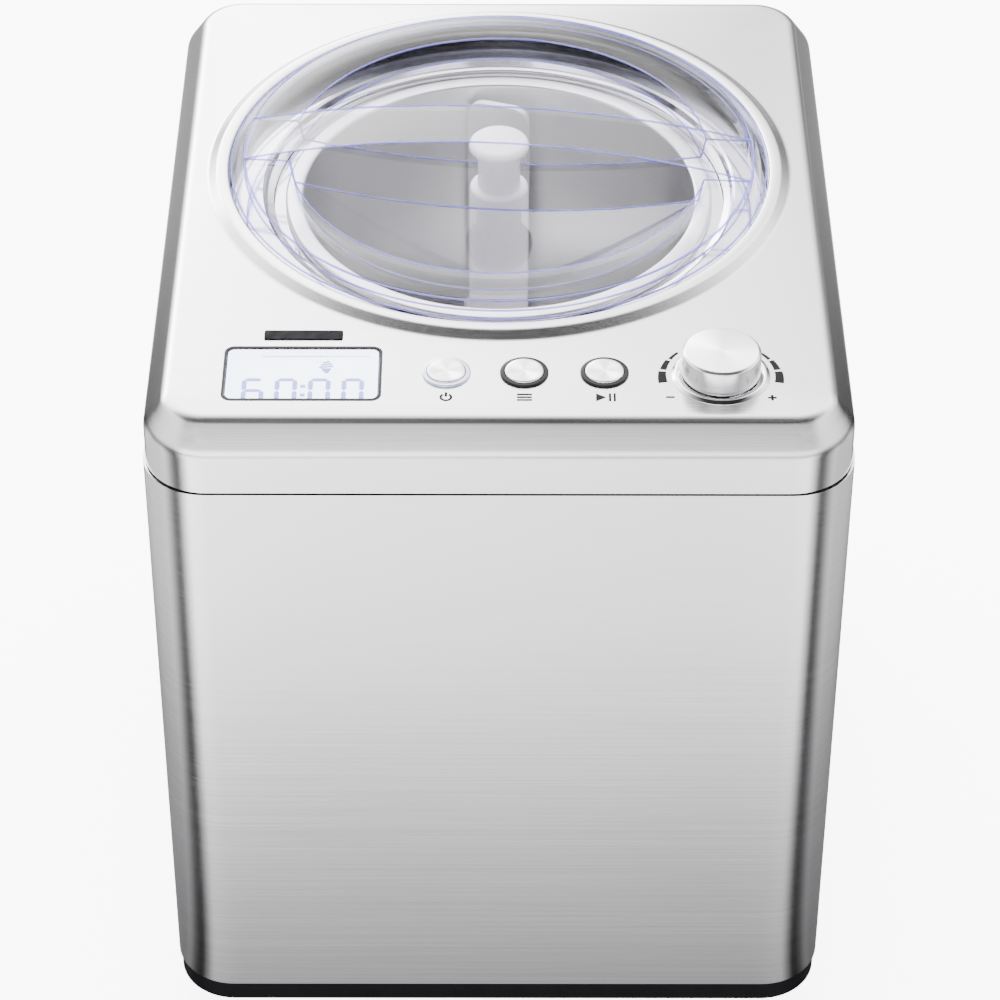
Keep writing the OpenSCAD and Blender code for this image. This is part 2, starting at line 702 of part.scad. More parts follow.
module compressor() {
    color("#232427") translate(compressor_pos) difference() {
        union() {
            rotate_extrude() polygon(concat(
                [[0, 32], [30, 32]],
                fillet([30, 32], [46, 36], [46, 80], 10, 6),
                [[46, 78], [47.5, 79], [47.5, 82], [46, 83]],
                fillet([46, 83], [45, 127], [0, 129], 20, 8),
                [[0, 129]]));
            plate(98, 98, 10, 31, 33.4);
            box([-16, -56, 60], [16, -40, 100]);
        }
        for (x = [-1, 1], y = [-1, 1]) translate(compressor_foot * [x, y]) rod(5.1, 30, 35);
    }
}

module compressor_grommets() {
    color("#141415") for (x = [-1, 1], y = [-1, 1])
        translate(compressor_pos + compressor_foot * [x, y]) {
            tube(7, 2.7, foot_h + 12, 31);
            tube(5, 2.7, 31, 33.4);
            tube(7, 2.7, 33.4, 36);
        }
}

module compressor_bolts() {
    color("#b4b6b8") for (x = [-1, 1], y = [-1, 1])
        translate(compressor_pos + compressor_foot * [x, y]) translate([0, 0, 36]) screw(5, 3, 2.5, 18);
}

condenser_x = 112;
condenser_tube_zs = [for (i = [0 : 4]) 42 + 24 * i];

module condenser() {
    low = condenser_box[0];
    high = condenser_box[1];
    color("#b9bec4") {
        for (i = [0 : 26])
            box([low[0], low[1] + 5 * i + 2, low[2]], [high[0], low[1] + 5 * i + 2.8, high[2]]);
        for (z = condenser_tube_zs) translate([condenser_x, low[1] - 2, z]) rotate([-90, 0, 0])
            cylinder(r = 3.5, h = high[1] - low[1] + 4, $fn = 32);
        for (i = [0 : 3])
            translate([condenser_x, i % 2 == 0 ? high[1] + 2 : low[1] - 2, condenser_tube_zs[i] + 12])
            rotate([0, 90, 0]) rotate(i % 2 == 0 ? 0 : 180) rotate_extrude(angle = 180) translate([12, 0])
                circle(3.5, $fn = 32);
        for (y = [low[1], high[1] - 1.5])
            box([low[0] - 1, y, foot_h + 3], [high[0] + 1, y + 1.5, high[2] + 2]);
    }
}

module fan_frame() {
    color("#1b1b1d") translate([fan_x, fan_y, fan_z]) rotate([0, 90, 0]) {
        difference() {
            translate([0, 0, 0]) linear_extrude(25) round_rect(fan_size, fan_size, 8);
            rod(fan_size / 2 - 3, -1, 26);
            for (x = [-1, 1], y = [-1, 1]) translate([x * 52.5, y * 52.5]) rod(2.2, -1, 26);
        }
        difference() {
            union() {
                rod(21, 0, 3);
                for (i = [0 : 3]) rotate(45 + 90 * i) box([15, -3, 0], [58.5, 3, 3]);
                rod(6, 3, 12);
            }
            rod(1.55, -1, 13);
        }
    }
}

module fan_blades() {
    color("#2a2a2d") translate([fan_x, fan_y, fan_z]) rotate([0, 90, 0]) {
        difference() {
            rod(20, 4, 23);
            rod(18.5, 3, 21);
        }
        rod(1.5, 1, 21.5);
        intersection() {
            tube(55.5, 19.5, 4, 23);
            for (i = [0 : 6]) rotate(360 / 7 * i) translate([38, 0, 13.5]) rotate([38, 0, 0])
                cube([40, 27, 1.6], center = true);
        }
    }
}

module filter_drier() {
    low = drier_zs[0];
    high = drier_zs[1];
    color("#b87333") translate(drier_pos) rotate_extrude($fn = 48) polygon([
        [0, low], [3, low], [3, low + 6],
        [10, low + 16], [10, high - 16], [3, high - 6], [3, high], [0, high]]);
}

module refrigerant_pipes() {
    cx = compressor_pos[0];
    cy = compressor_pos[1];
    hot_in = [condenser_x, condenser_box[1][1] + 2, condenser_tube_zs[4]];
    hot_out = [condenser_x, condenser_box[0][1] - 2, condenser_tube_zs[0]];
    coil_in = [coil_r, axis_y - 0.1, coil_z];
    coil_out = [coil_r, axis_y + 0.1, coil_z + coil_pitch * coil_turns];
    drier = [drier_pos[0], drier_pos[1], drier_zs[0]];
    color("#b06a34") {
        pipe([[cx + 46, cy, 60], [-6, cy, 60], [-6, 139, 60], [-6, 139, hot_in[2]],
            [hot_in[0], 139, hot_in[2]], hot_in], 3, 4.5);
        pipe([hot_out, hot_out + [0, -18, 0], hot_out + [0, -18, 18],
            [drier[0], drier[1], 60], drier], 2.4, 6);
        pipe([[drier[0], drier[1], drier_zs[1]], [drier[0], drier[1], 155],
            [drier[0], -92, 155], [106, -92, 155],
            [106, -45, 155], [106, -45, coil_z], coil_in + [1.2, -20, 0], coil_in], 1.6, 6);
        pipe([coil_out, coil_out + [0.8, 16, 0], coil_out + [0, 24, -20], [104, 70, 270], [104, 70, 159],
            [104, 126, 159], [cx, 126, 159], [cx, 126, 96], [cx, cy + 46, 96]], 2.6, 6);
    }
}

// ---------- Electronics and controls ----------

module power_board() {
    z = foot_h + 14;
    color("#2f6b45") {
        box([-70, -140, z], [60, -80, z + 1.6]);
        for (x = [-66, 56], y = [-136, -84]) translate([x, y]) rod(3, foot_h + 3, z);
        box([-60, -130, z + 1.6], [-30, -100, z + 26]);
        for (x = [-15, 0, 15]) translate([x, -118]) rod(6, z + 1.6, z + 24);
        box([25, -130, z + 1.6], [50, -110, z + 18]);
        for (i = [0 : 3]) box([-20 + 15 * i, -98, z + 1.6], [-11 + 15 * i, -88, z + 12]);
    }
}

board_z = body_top + 11.6;

module control_board() {
    color("#2f6b45") {
        box([-112, -143, board_z], [112, -97, board_z + 1.6]);
        box([-10, -108, board_z + 1.6], [4, -100, board_z + 3.2]);
        box([52, -110, board_z + 1.6], [62, -100, board_z + 4]);
    }
}

module button_switches() {
    z = board_z + 1.6;
    color("#2b2b2d") for (x = button_xs) translate([x, button_y]) {
        box([-3.1, -3.1, z], [3.1, 3.1, z + 3.4]);
        rod(1.7, z + 3.4, z + 4.6, $fn = 32);
    }
}

module rotary_encoder() {
    z = board_z + 1.6;
    color("#9a9da0") translate([knob_x, knob_y]) difference() {
        union() {
            box([-6.5, -6.5, z], [6.5, 6.5, z + 6.5]);
            rod(4.5, z + 6.5, top_z - 1);
        }
        rod(3 + run_gap, z + 1, top_z + 1);
    }
}

module display_module() {
    z = board_z + 1.6;
    p = window_pos;
    s = window_size / 2;
    color("#cfd8ea")
        box([p[0] - s[0] - 2, p[1] - s[1] - 2, z], [p[0] + s[0] + 2, p[1] + s[1] + 2, top_z - 2.7]);
}

module display_bezel() {
    color("#111113") translate([window_pos[0], window_pos[1], 0]) difference() {
        plate(window_size[0] + 2, window_size[1] + 2, 3.9, top_z - 2.6, top_z + 0.1);
        plate(window_size[0], window_size[1], 3, top_z - 3, top_z + 1);
    }
}

module display_window() {
    color([0.8, 0.85, 1, 0.4]) translate([window_pos[0], window_pos[1], 0])
        plate(window_size[0] - 0.1, window_size[1] - 0.1, 2.95, top_z - 1.8, top_z);
}

module badge_plate() {
    color("#1d1d20") translate([-75.9, -96.6, 0]) plate(30.6, 5.5, 0.8, top_z, top_z + 0.5);
}

module button_ring() {
    translate([0, button_y]) rotate_extrude() polygon(concat(
        [[7.75, top_z - 6], [8.6, top_z - 6], [8.6, top_z], [9.4, top_z]],
        fillet([9.4, top_z], [9.4, top_z + 0.9], [7.75, top_z + 0.9], 0.5, 4), [[7.75, top_z + 0.9]]));
}

module power_ring() {
    color("#c8d2e8") translate([button_xs[0], 0]) button_ring();
}

module menu_ring() {
    color("#141416") translate([button_xs[1], 0]) button_ring();
}

module start_ring() {
    color("#141416") translate([button_xs[2], 0]) button_ring();
}

module button_cap() {
    z = top_z + 1.5;
    stem = board_z + 1.6 + 4.6 + button_travel + 0.1;
    translate([0, button_y]) rotate_extrude() polygon(concat(
        [[0, stem], [2.6, stem], [2.6, top_z - 4], [button_r, top_z - 4]],
        fillet([button_r, top_z], [button_r, z], [0, z], 0.6, 4), [[0, z - 0.15]]));
}

module power_button() {
    color("#d5d6d8") translate([button_xs[0], 0]) button_cap();
}

module menu_button() {
    color("#d5d6d8") translate([button_xs[1], 0]) button_cap();
}

module start_button() {
    color("#d5d6d8") translate([button_xs[2], 0]) button_cap();
}

module knob_flange() {
    z = top_z;
    color("#b9bbbe") translate([knob_x, knob_y]) rotate_extrude() polygon(concat([[3.2, z], [19, z]],
        fillet([19, z], [19, z + 1.4], [16.6, z + 1.4], 0.6, 4),
        [[17.2, z + 1.2], [15.6, z + 0.7], [3.2, z + 0.7]]));
}

module knob() {
    z = top_z + 12;
    low = top_z + 1.1;
    color("#e4e5e6") translate([knob_x, knob_y]) {
        rotate_extrude() polygon(concat([[0, low], [knob_r - 0.4, low]],
            fillet([knob_r - 0.4, low], [knob_r, low + 1], [knob_r, z], 0.5, 3),
            fillet([knob_r, low], [knob_r, z - 0.9], [knob_r - 1, z], 0.8, 4),
            fillet([knob_r, z - 1], [knob_r - 1.1, z], [0, z], 0.5, 3), [[0, z]]));
        rod(3, board_z + 3, low + 0.1);
    }
}

base_plate();
rubber_feet();
foot_screws();
body_shell();
rear_panel();
rear_screws();
cord_gland();
cover_frame();
top_cover();
seat_ring();
cooling_drum();
evaporator_coil();
insulation_jacket();
deck_plate();
deck_posts();
deck_screws();
gearbox_housing();
gearbox_cover();
gearbox_screws();
lower_bearing();
upper_bearing();
shaft_seal();
idler_axle();
drive_motor();
motor_shaft();
motor_pinion();
idler_gear();
output_gear();
output_shaft();
compressor();
compressor_grommets();
compressor_bolts();
condenser();
fan_frame();
fan_blades();
filter_drier();
refrigerant_pipes();
power_board();
control_board();
button_switches();
rotary_encoder();
display_module();
display_bezel();
display_window();
badge_plate();
power_ring();
menu_ring();
start_ring();
power_button();
menu_button();
start_button();
knob_flange();
knob();
bowl();
paddle();
lid();
lid_gasket();
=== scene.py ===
"""Looks of the ice cream maker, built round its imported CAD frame. Metres, +Z up, controls towards -Y."""

import json
import math

import bmesh
import bpy
from mathutils import Matrix, Vector


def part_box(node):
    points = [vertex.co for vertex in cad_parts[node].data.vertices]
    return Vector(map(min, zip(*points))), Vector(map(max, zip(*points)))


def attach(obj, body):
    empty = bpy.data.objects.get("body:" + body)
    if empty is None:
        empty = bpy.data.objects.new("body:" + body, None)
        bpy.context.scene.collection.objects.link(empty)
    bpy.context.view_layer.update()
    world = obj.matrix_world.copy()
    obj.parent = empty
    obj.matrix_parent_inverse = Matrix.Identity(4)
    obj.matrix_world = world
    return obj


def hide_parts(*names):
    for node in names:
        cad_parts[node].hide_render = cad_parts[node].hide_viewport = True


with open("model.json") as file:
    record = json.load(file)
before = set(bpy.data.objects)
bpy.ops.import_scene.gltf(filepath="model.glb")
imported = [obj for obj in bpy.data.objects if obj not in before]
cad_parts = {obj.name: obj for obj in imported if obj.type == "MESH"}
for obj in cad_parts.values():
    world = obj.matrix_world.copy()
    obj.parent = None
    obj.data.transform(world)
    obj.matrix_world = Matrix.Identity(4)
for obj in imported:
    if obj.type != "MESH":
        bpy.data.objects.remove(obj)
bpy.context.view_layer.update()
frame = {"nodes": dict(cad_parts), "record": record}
nodes = frame["nodes"]

MM = 0.001


# ---------- Places taken from the CAD model ----------

def middle(node):
    """Centre of a CAD node's box."""
    low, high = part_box(node)
    return (low + high) / 2


def top_of(node):
    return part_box(node)[1].z


body_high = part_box("body_shell")[1]
window_low, window_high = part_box("display_window")
panel_z = window_high.z


def link(name, data):
    """A new object of some data, in the scene."""
    obj = bpy.data.objects.new(name, data)
    bpy.context.scene.collection.objects.link(obj)
    return obj


# ---------- Camera ----------

CAMERA_PLACE = (-0.0025, -1.2470, 1.1802)
CAMERA_HEADING, CAMERA_DOWN, CAMERA_ROLL = -0.15, 39.27, 0.17  # degrees
CAMERA_LENS = 132.87  # mm, on a sensor 36 mm wide


def add_camera():
    data = bpy.data.cameras.new("camera")
    data.sensor_width = 36
    data.lens = CAMERA_LENS
    data.clip_end = 50
    cam = link("camera", data)
    cam.location = CAMERA_PLACE
    heading = Matrix.Rotation(math.radians(CAMERA_HEADING), 3, "Z")
    pitch = Matrix.Rotation(math.radians(90 - CAMERA_DOWN), 3, "X")
    roll = Matrix.Rotation(math.radians(CAMERA_ROLL), 3, "Z")
    cam.rotation_euler = (heading @ pitch @ roll).to_euler()
    bpy.context.scene.camera = cam


add_camera()


# ---------- Node helpers for materials ----------

class Shader:
    """A material or world whose nodes are added by name and joined in one line each."""

    def __init__(self, name, tree=None):
        if tree is None:
            self.material = bpy.data.materials.new(name)
            self.material.use_nodes = True
            tree = self.material.node_tree
        self.tree = tree
        self.tree.nodes.clear()

    def add(self, kind, **settings):
        node = self.tree.nodes.new(kind)
        for key, value in settings.items():
            setattr(node, key, value)
        return node

    def feed(self, socket, value):
        """Sets a socket to a number or colour, or links another socket to it."""
        if isinstance(value, bpy.types.NodeSocket):
            self.tree.links.new(value, socket)
        else:
            socket.default_value = value

    def output(self, shader, kind="ShaderNodeOutputMaterial"):
        self.feed(self.add(kind).inputs["Surface"], shader)

    def place(self, scale=(1, 1, 1), source="Object"):
        where = self.add("ShaderNodeTexCoord")
        mapping = self.add("ShaderNodeMapping")
        mapping.inputs["Scale"].default_value = scale
        self.feed(mapping.inputs["Vector"], where.outputs[source])
        return mapping.outputs["Vector"]

    def parts(self, vector):
        node = self.add("ShaderNodeSeparateXYZ")
        self.feed(node.inputs[0], vector)
        return node.outputs[0], node.outputs[1], node.outputs[2]

    def vector(self, x, y, z):
        node = self.add("ShaderNodeCombineXYZ")
        for socket, value in zip(node.inputs, (x, y, z)):
            self.feed(socket, value)
        return node.outputs[0]

    def math(self, operation, a, b=0.0):
        node = self.add("ShaderNodeMath", operation=operation)
        self.feed(node.inputs[0], a)
        self.feed(node.inputs[1], b)
        return node.outputs[0]

    def product(self, first, *others):
        for other in others:
            first = self.math("MULTIPLY", first, other)
        return first

    def less(self, a, b):
        return self.math("SUBTRACT", a, b)

    def length(self, a, b):
        """Length of the line whose sides are a and b."""
        return self.math("SQRT", self.math("ADD", self.product(a, a), self.product(b, b)))

    def size(self, value):
        return self.math("ABSOLUTE", value)

    def step(self, value, start, end, low=0.0, high=1.0, smooth=True):
        """low where value is at start, high where it is at end, eased in between."""
        node = self.add("ShaderNodeMapRange", clamp=True)
        node.interpolation_type = "SMOOTHSTEP" if smooth else "LINEAR"
        for key, number in (("From Min", start), ("From Max", end), ("To Min", low), ("To Max", high)):
            self.feed(node.inputs[key], number)
        self.feed(node.inputs["Value"], value)
        return node.outputs["Result"]

    def curve(self, value, points):
        """A value that runs through (position, height) points, with straight lines between them."""
        first, last = points[0][0], points[-1][0]
        tallest = max(height for _, height in points)
        ramp = self.add("ShaderNodeValToRGB")
        stops = ramp.color_ramp.elements
        for position, height in points:
            share = (position - first) / (last - first)
            stop = stops[0] if share == 0 else stops[-1] if share == 1 else stops.new(share)
            stop.color = (height / tallest,) * 3 + (1,)
        self.feed(ramp.inputs["Fac"], self.step(value, first, last, smooth=False))
        return self.math("MULTIPLY", ramp.outputs["Color"], tallest)

    def noise(self, vector, scale, detail=2.0, roughness=0.5):
        node = self.add("ShaderNodeTexNoise")
        node.inputs["Scale"].default_value = scale
        node.inputs["Detail"].default_value = detail
        node.inputs["Roughness"].default_value = roughness
        self.feed(node.inputs["Vector"], vector)
        return node.outputs["Fac"]

    def tint(self, value, dark, light):
        node = self.add("ShaderNodeValToRGB")
        node.color_ramp.elements[0].color = (*dark, 1)
        node.color_ramp.elements[1].color = (*light, 1)
        self.feed(node.inputs["Fac"], value)
        return node.outputs["Color"]

    def bump(self, height, strength, distance):
        node = self.add("ShaderNodeBump")
        node.inputs["Strength"].default_value = strength
        node.inputs["Distance"].default_value = distance
        self.feed(node.inputs["Height"], height)
        return node.outputs["Normal"]

    def principled(self, **values):
        node = self.add("ShaderNodeBsdfPrincipled")
        for key, value in values.items():
            self.feed(node.inputs[key.replace("_", " ")], value)
        return node.outputs["BSDF"]

    def glow(self, strength, scale, dark, light):
        """The material's output: nothing but light, in a colour that wanders from dark to light."""
        lamp = self.add("ShaderNodeEmission")
        self.feed(lamp.inputs["Strength"], strength)
        self.feed(lamp.inputs["Color"], self.tint(self.noise(self.place(), scale), dark, light))
        self.output(lamp.outputs[0])

    def blend(self, share, a, b):
        node = self.add("ShaderNodeMixShader")
        for socket, value in zip(node.inputs, (share, a, b)):
            self.feed(socket, value)
        return node.outputs[0]


def darker(colour, share):
    return tuple(c * share for c in colour)


# ---------- Materials ----------

def brushed(name, base, grain, across, roughness=(0.18, 0.24), anisotropy=0.6, relief=0.04):
    """Steel brushed in lines. grain scales the lines on X, Y and Z, across is square to them."""
    s = Shader(name)
    lines = s.noise(s.place(scale=grain), 1.0, detail=5, roughness=0.7)
    clouds = s.noise(s.place(), 7.0, detail=3)
    sheet = s.principled(
        Metallic=1.0,
        Base_Color=s.tint(s.step(lines, 0.3, 0.7), darker(base, 0.88), base),
        Roughness=s.math("ADD", s.step(lines, 0.3, 0.7, *roughness), s.step(clouds, 0.3, 0.7, 0, 0.03)),
        Anisotropic=anisotropy,
        Normal=s.bump(lines, relief, 0.05 * MM),
        Tangent=s.vector(*across),
    )
    s.output(sheet)
    return s.material


def spun(name, base, roughness, anisotropy=0.85, contrast=0.07, relief=0.06,
         painted_shade_fans=2, painted_shade_on_top=0.0, painted_shade_on_side=0.0):
    """Metal turned on a lathe: fine rings round the piece's own axis, and across them painted highlight
    and shade in lobes round that axis, as deep as painted_shade_on_top on its level faces and
    painted_shade_on_side on its upright ones."""
    s = Shader(name)
    x, y, z = s.parts(s.place(source="Generated"))
    across, along = s.less(x, 0.5), s.less(y, 0.5)
    radius = s.length(across, along)
    rings = s.noise(s.vector(s.product(radius, 90.0), s.product(z, 60.0), 0.0), 1.0, detail=4)
    turned = s.add("ShaderNodeTangent", direction_type="RADIAL", axis="Z").outputs[0]
    # Painted highlight and shade: the colour is darkened in lobes by angle round the axis, standing in for
    # the highlights of turned metal
    angle = s.product(s.math("ARCTAN2", along, across), float(painted_shade_fans))
    painted_shade_wave = s.math("COSINE", s.math("ADD", angle, math.pi))
    shape = s.add("ShaderNodeNewGeometry")
    levelness = s.size(s.parts(shape.outputs["True Normal"])[2])
    painted_shade_depth = s.step(levelness, 0.3, 0.8, painted_shade_on_side, painted_shade_on_top)
    lit = s.less(1.0, s.product(s.step(painted_shade_wave, 1.0, -1.0), painted_shade_depth))
    bright = s.product(s.step(rings, 0.35, 0.65, 1 - contrast, 1.0), lit)
    s.output(s.principled(
        Metallic=1.0,
        Base_Color=s.tint(bright, (0.0, 0.0, 0.0), base),
        Roughness=s.step(rings, 0.3, 0.7, roughness, roughness * 1.25),
        Anisotropic=anisotropy,
        Anisotropic_Rotation=0.25,
        Normal=s.bump(rings, relief, 0.05 * MM),
        Tangent=turned,
    ))
    return s.material


def plain(name, base, roughness, metallic=0.0, grain=300.0, relief=0.05,
          vary=0.85, coat=0.0, shine=0.5):
    """A moulded, cast, painted or drawn material: slight mottling in colour, gloss and relief."""
    s = Shader(name)
    fine = s.noise(s.place(), grain, detail=4)
    broad = s.noise(s.place(), grain / 20)
    s.output(s.principled(
        Metallic=metallic,
        Coat_Weight=coat,
        Specular_IOR_Level=shine,
        Base_Color=s.tint(s.step(broad, 0.3, 0.7), darker(base, vary), base),
        Roughness=s.step(fine, 0.25, 0.75, roughness * 0.8, roughness * 1.2),
        Normal=s.bump(fine, relief, 0.15 * MM),
    ))
    return s.material


PLASTIC_INDEX = 1.49
PLASTIC_SHINE = 0.6  # share of the full mirror reflection


def clear_plastic():
    """Clear moulded plastic that sight passes straight through. Fillets and grazed faces look violet."""
    s = Shader("clear_plastic")
    shape = s.add("ShaderNodeNewGeometry")
    levelness = s.size(s.parts(shape.outputs["True Normal"])[2])
    fillet = s.product(s.step(levelness, 0.3, 0.42), s.step(levelness, 0.95, 0.88))
    streaks = s.step(s.noise(s.place(), 40.0, detail=3), 0.3, 0.7, 0.7, 1.0)
    glance = s.add("ShaderNodeLayerWeight")
    glance.inputs["Blend"].default_value = 0.5
    grazed = s.step(glance.outputs["Facing"], 0.62, 1.0, 0.0, 0.6)
    stain = s.math("MAXIMUM", s.product(fillet, streaks), grazed)
    through = s.add("ShaderNodeBsdfTransparent")
    s.feed(through.inputs["Color"], s.tint(stain, (0.935, 0.935, 0.95), (0.5, 0.5, 0.86)))
    glossy = s.add("ShaderNodeBsdfAnisotropic", distribution="GGX")
    s.feed(glossy.inputs["Color"], (1, 1, 1, 1))
    s.feed(glossy.inputs["Roughness"], s.step(streaks, 0.7, 1.0, 0.02, 0.05))
    mirror = s.add("ShaderNodeFresnel")
    mirror.inputs["IOR"].default_value = PLASTIC_INDEX
    outside = s.less(1.0, shape.outputs["Backfacing"])
    shine = s.product(mirror.outputs["Fac"], outside, PLASTIC_SHINE)
    s.output(s.blend(shine, through.outputs[0], glossy.outputs[0]))
    return s.material


def moulded_edge():
    """A moulded edge of clear plastic, where the light inside comes out violet."""
    s = Shader("moulded_edge")
    along = s.step(s.noise(s.place(), 60.0, detail=3), 0.3, 0.7)
    through = s.add("ShaderNodeBsdfTransparent")
    s.feed(through.inputs["Color"], s.tint(along, (0.56, 0.55, 0.9), (0.7, 0.69, 0.96)))
    body = s.principled(
        Base_Color=s.tint(along, (0.36, 0.35, 0.82), (0.5, 0.49, 0.9)),
        Roughness=s.step(along, 0.0, 1.0, 0.08, 0.16),
    )
    s.output(s.blend(0.35, through.outputs[0], body))
    return s.material


def lit_display():
    """The display's light panel: a cold white glow, a little deeper towards its edges."""
    s = Shader("lit_display")
    x, y, z = s.parts(s.place(source="Generated"))
    across, along = s.size(s.less(x, 0.5)), s.size(s.less(y, 0.5))
    rim = s.step(s.math("MAXIMUM", across, along), 0.3, 0.5)
    cells = s.noise(s.place(), 2500.0)
    s.output(s.principled(
        Base_Color=s.tint(s.step(cells, 0.3, 0.7), (0.55, 0.6, 0.7), (0.6, 0.65, 0.74)),
        Roughness=0.35,
        Emission_Color=s.tint(rim, (0.86, 0.93, 1.0), (0.66, 0.78, 1.0)),
        Emission_Strength=s.step(z, 0.7, 0.95, 0.0, 5.2),
    ))
    return s.material


def glowing(name, colour, strength, base, roughness=0.4):
    """A lit or printed mark, with a slight grain in its colour."""
    s = Shader(name)
    fine = s.noise(s.place(), 1500.0)
    s.output(s.principled(
        Base_Color=s.tint(s.step(fine, 0.3, 0.7), darker(base, 0.9), base),
        Roughness=s.step(fine, 0.3, 0.7, roughness * 0.9, roughness * 1.1),
        Emission_Color=(*colour, 1),
        Emission_Strength=strength,
    ))
    return s.material


def lit_ring():
    """A polished ring with a faint blue light in it."""
    s = Shader("lit_ring")
    fine = s.noise(s.place(), 800.0)
    s.output(s.principled(
        Metallic=1.0,
        Base_Color=s.tint(s.step(fine, 0.3, 0.7), (0.4, 0.43, 0.5), (0.46, 0.49, 0.56)),
        Roughness=s.step(fine, 0.3, 0.7, 0.12, 0.18),
        Emission_Color=(0.45, 0.6, 1.0, 1),
        Emission_Strength=0.3,
    ))
    return s.material


STEEL = (0.68, 0.675, 0.685)
TURNED = (0.86, 0.855, 0.87)
LINE, LONG = 2600, 9  # brush strokes to the metre, across and along them
materials = {
    "brushed_steel": brushed("steel_sheet", STEEL, (LONG, LONG, LINE), (0, 0, 1)),
    "brushed_cover": brushed("steel_cover", STEEL, (LONG, LINE, LINE), (0, 0.3, 1)),
    "polished_steel": plain("polished_steel", (0.74, 0.735, 0.75), 0.09, 1.0, 60.0, 0.01, 0.95),
    "bowl_steel": spun("bowl_steel", (0.84, 0.835, 0.83), 0.3, 0.2, 0.03, 0.01),
    "bare_steel": plain("bare_steel", (0.5, 0.5, 0.51), 0.35, 1.0),
    "black_plastic": plain("black_plastic", (0.002, 0.002, 0.0025), 0.5, grain=1800, relief=0.2,
                           shine=0.05),
    "gloss_black": plain("gloss_black", (0.008, 0.008, 0.009), 0.15, relief=0.01, shine=0.12),
    "rubber": plain("rubber", (0.015, 0.015, 0.015), 0.7, grain=900, relief=0.2),
    "light_plastic": plain("light_plastic", (0.7, 0.7, 0.71), 0.4),
    "white_plastic": plain("white_plastic", (0.93, 0.925, 0.93), 0.25, grain=500, relief=0.02, vary=0.97),
    "aluminium": plain("aluminium", (0.66, 0.67, 0.69), 0.3, 1.0),
    "copper": plain("copper", (0.72, 0.32, 0.16), 0.3, 1.0),
    "bronze": plain("bronze", (0.55, 0.38, 0.18), 0.35, 1.0),
    "foam": plain("foam", (0.75, 0.68, 0.45), 0.9, grain=700, relief=0.5),
    "gear_plastic": plain("gear_plastic", (0.78, 0.75, 0.66), 0.4),
    "zinc_screw": plain("zinc_screw", (0.6, 0.61, 0.63), 0.3, 1.0),
    "painted_black": plain("painted_black", (0.015, 0.015, 0.017), 0.3, grain=600, relief=0.08, coat=0.3),
    "circuit_green": plain("circuit_green", (0.01, 0.12, 0.04), 0.35, coat=0.4),
    # The knob's sides and the button caps get painted highlight and shade in lobes round their axes
    "knob_metal": spun("turned_metal_painted_shade", TURNED, 0.2, painted_shade_on_side=0.5),
    "cap_metal_painted_shade": spun("cap_metal_painted_shade", TURNED, 0.2, painted_shade_fans=4, painted_shade_on_top=0.3, painted_shade_on_side=0.2),
    "lit_panel": lit_display(),
    "dark_plate": plain("dark_plate", (0.003, 0.003, 0.004), 0.5, relief=0.03, shine=0.05),
    "clear_plastic": clear_plastic(),
    "lit_ring": lit_ring(),
}
# Nodes whose material isn't simply their slot's
own_material = {
    "top_cover": "brushed_cover",
    "power_ring": "lit_ring",
    "bowl": "bowl_steel",
    "power_button": "cap_metal_painted_shade",
    "menu_button": "cap_metal_painted_shade",
    "start_button": "cap_metal_painted_shade",
}


# ---------- Carried-over CAD nodes ----------

CREASE = math.radians(28)


def smooth_by_angle():
    """A modifier's node group that shades smooth except across edges sharper than CREASE."""
    group = bpy.data.node_groups.new("smooth_by_angle", "GeometryNodeTree")
    group.interface.new_socket("Geometry", in_out="INPUT", socket_type="NodeSocketGeometry")
    group.interface.new_socket("Geometry", in_out="OUTPUT", socket_type="NodeSocketGeometry")
    entry = group.nodes.new("NodeGroupInput")
    leave = group.nodes.new("NodeGroupOutput")
    merge = group.nodes.new("GeometryNodeMergeByDistance")
    merge.inputs["Distance"].default_value = 1e-6
    faces = group.nodes.new("GeometryNodeSetShadeSmooth")
    faces.domain = "FACE"
    edges = group.nodes.new("GeometryNodeSetShadeSmooth")
    edges.domain = "EDGE"
    edges.inputs["Shade Smooth"].default_value = False
    angle = group.nodes.new("GeometryNodeInputMeshEdgeAngle")
    sharp = group.nodes.new("FunctionNodeCompare")
    sharp.inputs[1].default_value = CREASE
    group.links.new(entry.outputs[0], merge.inputs["Geometry"])
    group.links.new(merge.outputs["Geometry"], faces.inputs["Geometry"])
    group.links.new(faces.outputs["Geometry"], edges.inputs["Geometry"])
    group.links.new(angle.outputs["Unsigned Angle"], sharp.inputs[0])
    group.links.new(sharp.outputs["Result"], edges.inputs["Selection"])
    group.links.new(edges.outputs["Geometry"], leave.inputs[0])
    return group


smooth_group = smooth_by_angle()


def dress_cad_nodes():
    slots = {part["node"]: part["material_slot"] for part in frame["record"]["subparts"]}
    for name, obj in nodes.items():
        obj.data.materials.clear()
        obj.data.materials.append(materials[own_material.get(name, slots[name])])
        obj.modifiers.new("smooth", "NODES").node_group = smooth_group


dress_cad_nodes()


# ---------- New pieces ----------

def piece(name, data, material, body="housing"):
    """An object of a mesh or curve, which rides on a CAD body."""
    data.materials.append(material)
    obj = link(name, data)
    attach(obj, body)
    return obj


def finished_mesh(name, bm):
    """A mesh of what was built in bm, with its faces turned outwards."""
    bmesh.ops.recalc_face_normals(bm, faces=bm.faces)
    mesh = bpy.data.meshes.new(name)
    bm.to_mesh(mesh)
    bm.free()
    return mesh


def skin(bm, loops):
    """Faces between each closed loop of points and the next."""
    for a, b in zip(loops, loops[1:]):
        for i, after in enumerate([*range(1, len(a)), 0]):
            bm.faces.new((a[i], a[after], b[after], b[i]))


